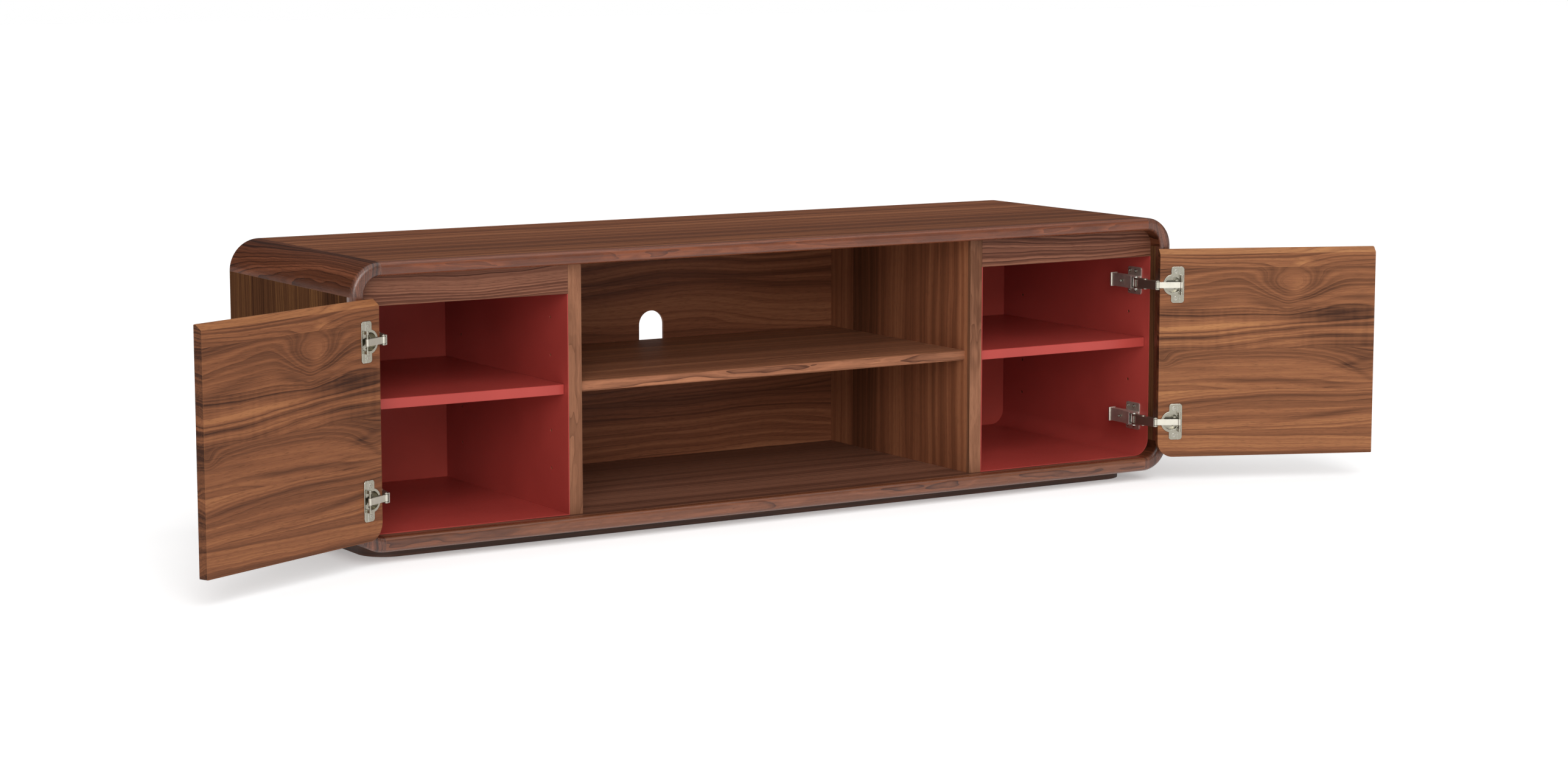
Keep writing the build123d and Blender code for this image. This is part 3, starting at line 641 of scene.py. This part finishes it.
class CABINET_OT_middle_bay(bpy.types.Operator):
    """Finish the dividers, header rails, middle shelf and middle back panel."""

    bl_idname = "cabinet.middle_bay"
    bl_label = "Middle bay"

    def execute(self, context):
        wood = context.scene.cabinet_walnut
        for i, side in enumerate(SIDES):
            cover(walnut("Oiled walnut divider " + side, "zyx", wood, DIVIDER_TONES,
                         wander=0.05, seed=14.0 + i, stave=93 * MM, stave_start=-210 * MM,
                         ring=16 * MM, lines=0.2),
                  "divider_" + side)
            cover(walnut("Solid walnut divider edge " + side, "zyx", wood, STRIP_TONES,
                         wander=0.02, seed=17.0 + i, ring=3 * MM, lines=0.3, contrast=1.3),
                  "divider_front_strip_" + side)
            cover(walnut("Oiled walnut header " + side, "xzy", wood, HEADER_TONES, wander=0.08,
                         seed=20.0 + i, ring=6 * MM, lines=0.6, contrast=1.5),
                  "header_rail_" + side)
        cover(walnut("Oiled walnut middle back", "xzy", wood, BACK_TONES, wander=0.14,
                     seed=23.0, stave=105 * MM, stave_start=42 * MM, ring=16 * MM, lines=0.3),
              "back_panel_centre")
        cover(walnut("Oiled walnut middle shelf", "xyz", wood, SHELF_TONES, wander=0.05,
                     seed=27.0, stave=95 * MM, stave_start=-186.5 * MM, ring=6 * MM, lines=0.6),
              "centre_shelf", "centre_shelf_front_strip")
        return {"FINISHED"}


class CABINET_OT_doors(bpy.types.Operator):
    """Finish the two staved doors, both cut from one panel."""

    bl_idname = "cabinet.doors"
    bl_label = "Doors"

    def execute(self, context):
        wood = context.scene.cabinet_walnut
        stave = wood.stave_width
        foot = DOOR_SEAM - (len(DOOR_LEVELS) - 1) * stave
        for side in SIDES:
            cover(walnut("Oiled walnut door " + side, "xzy", wood, DOOR_TONES[side],
                         wander=0.085, place=DOOR_CORNER[side], turn=radians(DOOR_TURN[side]),
                         seed=42.0, stave=stave, stave_start=foot, lines=0.3, contrast=1.15,
                         figures=DOOR_FIGURES, calm=DOOR_CALM, levels=DOOR_LEVELS,
                         streaks=DOOR_STREAKS, curl=DOOR_CURL, lit_bevel=0.27),
                  "door_" + side)
        return {"FINISHED"}


class CABINET_OT_compartments(bpy.types.Operator):
    """Finish the lacquered linings, shelves and backs behind the doors."""

    bl_idname = "cabinet.compartments"
    bl_label = "Lacquered compartments"

    def execute(self, context):
        paint = context.scene.cabinet_lacquer
        wood = context.scene.cabinet_walnut
        red = lacquer("Sprayed satin lacquer red", paint, paint.colour)
        # The backs get a lighter copy of the lacquer: painted light deep in the compartments.
        backs_painted_lighter = lacquer("Red lacquer on veneered board", paint, paint.back,
                         (wood.streak, wood.heart, wood.pale))
        for side in SIDES:
            cover(red, "lining_" + side, "divider_lining_" + side, "red_shelf_" + side)
            cover(backs_painted_lighter, "back_panel_" + side)
        return {"FINISHED"}


class CABINET_OT_hinges(bpy.types.Operator):
    """Finish the concealed hinges, their pins and the screws."""

    bl_idname = "cabinet.hinges"
    bl_label = "Hinges"

    def execute(self, context):
        metal = context.scene.cabinet_hinges
        bright = plating("Bright nickel-plated steel", metal.nickel, 0.24)
        satin = plating("Satin nickel-plated steel", metal.satin, 0.42, brushed=0.12)
        arm = plating("Bead-blasted nickel-plated zinc", metal.arm, 0.48)
        link = plating("Pressed nickel-plated steel", metal.nickel, 0.38)
        screw = plating("Nickel-plated screws", metal.nickel, 0.26)
        zinc = plating("Zinc-plated screws", ZINC, 0.38)
        for side in SIDES:
            cover(satin, "hinge_bars_" + side)
            cover(link, "hinge_links_" + side)
            cover(bright, "knee_pins_" + side, "cup_pins_" + side)
            cover(screw, "cup_screws_" + side)
            for level in ("lower", "upper"):
                cover(bright, f"hinge_cup_{side}_{level}")
                cover(arm, f"hinge_plate_{side}_{level}", f"hinge_arm_{side}_{level}")
        cover(bright, "arm_pins", "shelf_pins")
        cover(screw, "hinge_plate_screws")
        cover(zinc, "back_screws")
        return {"FINISHED"}


class CABINET_OT_plinth(bpy.types.Operator):
    """Finish the plinth."""

    bl_idname = "cabinet.plinth"
    bl_label = "Plinth"

    def execute(self, context):
        cover(stained("Dark-stained plywood"), "plinth_ring", "plinth_cross_rails")
        return {"FINISHED"}


class CABINET_OT_stage(bpy.types.Operator):
    """Lay the studio floor, hang the lights and set up the camera."""

    bl_idname = "cabinet.stage"
    bl_label = "Studio"

    def execute(self, context):
        studio = context.scene.cabinet_studio
        bpy.ops.object.select_all(action="DESELECT")
        bpy.ops.mesh.primitive_plane_add(size=studio.floor_side, location=(0, 0, 0))
        floor = context.object
        floor.name = "studio_floor"
        # Rolled white paper: an even matt white, so faintly mottled that it hardly shows.
        material, tree = new_material("Seamless paper")
        where = add(tree, "ShaderNodeTexCoord")
        mottle = add(tree, "ShaderNodeTexNoise", {"Vector": where.outputs["Object"],
                                                  "Scale": 3.0, "Detail": 2.0})
        paper = add(tree, "ShaderNodeValToRGB", {0: mottle}, ramp=(
            (0.3, grey(0.90)), (0.7, grey(0.93))))
        surface = add(tree, "ShaderNodeBsdfPrincipled", {
            "Base Color": paper, "Roughness": 0.8, "Emission Color": grey(1.0),
            "Emission Strength": 0.30, "Specular IOR Level": 0.1})
        add(tree, "ShaderNodeOutputMaterial", {"Surface": surface})
        floor.data.materials.append(material)

        world = bpy.data.worlds.new("Studio surround")
        world.use_nodes = True
        tree = world.node_tree
        tree.nodes.clear()
        # The surround is seen white, but lights the cabinet as a bright wall in front, dim walls
        # behind and a half-bright ceiling, so that the top shows no haze at a low angle.
        where = add(tree, "ShaderNodeTexCoord")
        way = add(tree, "ShaderNodeSeparateXYZ", {0: where.outputs["Generated"]})
        wall = add(tree, "ShaderNodeMapRange", {
            "Value": way.outputs["Y"], "From Min": 0.35, "From Max": -0.75,
            "To Min": studio.back_wall, "To Max": studio.front_wall})
        roof = add(tree, "ShaderNodeMapRange", {
            "Value": way.outputs["Z"], "From Min": 0.30, "From Max": 0.75})
        dome = add(tree, "ShaderNodeMix", {0: roof, 2: wall, 3: studio.ceiling})
        lit = add(tree, "ShaderNodeBackground", {"Strength": dome})
        seen = add(tree, "ShaderNodeBackground", {"Color": grey(1.0)})
        ray = add(tree, "ShaderNodeLightPath")
        both = add(tree, "ShaderNodeMixShader", {0: ray.outputs["Is Camera Ray"], 1: lit, 2: seen})
        add(tree, "ShaderNodeOutputWorld", {"Surface": both})
        context.scene.world = world

        for name, azimuth, height, spread, power in (
                ("key_light", studio.key_azimuth, radians(31), radians(40), studio.key),
                ("fill_light", radians(-32), radians(9), radians(28), studio.fill),
                ("overhead_light", radians(10), radians(80), radians(75), studio.overhead)):
            bpy.ops.object.light_add(type="SUN", location=(0, -3, 3))
            lamp = context.object
            lamp.name = name
            lamp.data.angle = spread
            lamp.data.energy = power
            lamp.rotation_euler = (pi / 2 - height, 0, azimuth)

        bpy.ops.object.camera_add(location=CAMERA_PLACE, rotation=(CAMERA_TILT, 0, CAMERA_TURN))
        camera = context.object
        camera.name = "studio_camera"
        camera.data.lens = studio.lens
        camera.data.sensor_width = SENSOR_WIDTH
        context.scene.camera = camera
        context.scene.view_settings.view_transform = "Standard"
        return {"FINISHED"}


SETTINGS = {
    "cabinet_walnut": WalnutSettings,
    "cabinet_lacquer": LacquerSettings,
    "cabinet_hinges": HingeSettings,
    "cabinet_studio": StudioSettings,
}
STEPS = (CABINET_OT_carcass, CABINET_OT_middle_bay, CABINET_OT_doors, CABINET_OT_compartments,
         CABINET_OT_hinges, CABINET_OT_plinth, CABINET_OT_stage)


class CABINET_PT_panel(bpy.types.Panel):
    """The cabinet's steps and settings."""

    bl_idname = "CABINET_PT_panel"
    bl_label = "Media Cabinet"
    bl_space_type = "VIEW_3D"
    bl_region_type = "UI"
    bl_category = "Cabinet"

    def draw(self, context):
        for step in STEPS:
            self.layout.operator(step.bl_idname)
        for group in SETTINGS:
            settings = getattr(context.scene, group)
            box = self.layout.box()
            for name in settings.__annotations__:
                box.prop(settings, name)


CLASSES = (*SETTINGS.values(), *STEPS, CABINET_PT_panel)


def register():
    """Add the classes, and the settings to the scene."""
    for cls in CLASSES:
        bpy.utils.register_class(cls)
    for name, group in SETTINGS.items():
        setattr(bpy.types.Scene, name, bpy.props.PointerProperty(type=group))


def unregister():
    """Take the settings and the classes away again."""
    for name in SETTINGS:
        delattr(bpy.types.Scene, name)
    for cls in reversed(CLASSES):
        bpy.utils.unregister_class(cls)


def main():
    """Build every finish in order."""
    register()
    bpy.ops.cabinet.carcass()
    bpy.ops.cabinet.middle_bay()
    bpy.ops.cabinet.doors()
    bpy.ops.cabinet.compartments()
    bpy.ops.cabinet.hinges()
    bpy.ops.cabinet.plinth()
    bpy.ops.cabinet.stage()


if __name__ == "__main__":
    main()
